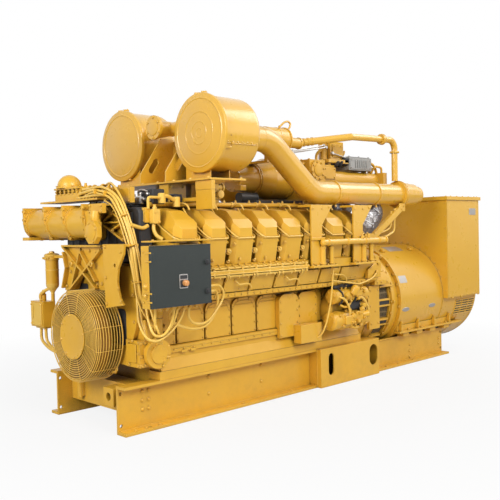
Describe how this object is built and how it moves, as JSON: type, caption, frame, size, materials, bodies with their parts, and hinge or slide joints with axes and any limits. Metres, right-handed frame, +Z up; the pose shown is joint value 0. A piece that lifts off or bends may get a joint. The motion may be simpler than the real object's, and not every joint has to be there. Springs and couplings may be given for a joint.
{
  "type": "gas generator set",
  "caption": "Skid-mounted vee gas engine coupled to a generator, with twin drum air cleaners and a hinged-door control panel.",
  "frame": {"origin": "on the floor under the middle of the skid, on the crank line", "axes": "+X from the engine's front to the generator, +Z up, the control panel faces -Y"},
  "size_m": [4.299, 1.598, 2.1378],
  "materials": {
    "machine_paint": "satin yellow machinery enamel",
    "door_paint": "smooth dark grey enamel",
    "knob_plastic": "orange-brown moulded plastic",
    "box_paint": "plain grey enamel",
    "tray_paint": "dull black enamel",
    "foil_lagging": "crumpled foil insulation"
  },
  "bodies": {
    "genset": {"skid_rails": "machine_paint", "side_boxes": "machine_paint", "front_cross_member": "machine_paint", "cross_members": "machine_paint", "engine_feet": "machine_paint", "oil_pan": "machine_paint", "crankcase": "machine_paint", "crankcase_doors": "machine_paint", "side_cover": "machine_paint", "cam_covers": "machine_paint", "cylinder_heads": "machine_paint", "valve_covers": "machine_paint", "water_rails": "machine_paint", "valley_cover": "machine_paint", "valley_tray": "tray_paint", "gear_case": "machine_paint", "cooler_support": "machine_paint", "support_plate": "machine_paint", "water_pump": "machine_paint", "damper_guard": "machine_paint", "front_manifold": "machine_paint", "truss_bracket": "machine_paint", "thermostat_housing": "machine_paint", "filter_canister": "machine_paint", "sender_box": "machine_paint", "junction_box": "machine_paint", "panel_box": "machine_paint", "panel_bracket": "machine_paint", "air_cleaners": "machine_paint", "cleaner_platform": "machine_paint", "platform_posts": "machine_paint", "crossover_pipe": "machine_paint", "intake_pipes": "machine_paint", "inlet_cone": "machine_paint", "breather": "machine_paint", "breather_pipe": "machine_paint", "mixer_housing": "machine_paint", "actuator": "machine_paint", "ignition_box": "box_paint", "rear_manifold": "machine_paint", "turbochargers": "foil_lagging", "pipe_legs": "machine_paint", "coolant_pipe": "machine_paint", "pipe_stay": "machine_paint", "starter_motor": "machine_paint", "flywheel_housing": "machine_paint", "coupling_ring": "machine_paint", "generator_frame": "machine_paint", "generator_feet": "machine_paint", "end_bell": "machine_paint", "terminal_box": "machine_paint", "terminal_lid": "machine_paint"},
    "door": {"panel_door": "door_paint"},
    "knob": {"panel_knob": "knob_plastic"},
    "damper": {"crank_damper": "machine_paint"}
  },
  "joints": [
    {"name": "panel_door_hinge", "type": "hinge", "parent": "genset", "child": "door", "pos_m": [-1.859, -0.75, 0.9755], "axis": [0, 0, -1], "range_deg": [0, 110]},
    {"name": "knob_turn", "type": "hinge", "parent": "door", "child": "knob", "pos_m": [-1.613, -0.729, 0.931], "axis": [0, 1, 0], "range_deg": [-45, 45]},
    {"name": "crank_spin", "type": "hinge", "parent": "genset", "child": "damper", "pos_m": [-1.855, 0, 0.58], "axis": [1, 0, 0], "continuous": true}
  ]
}
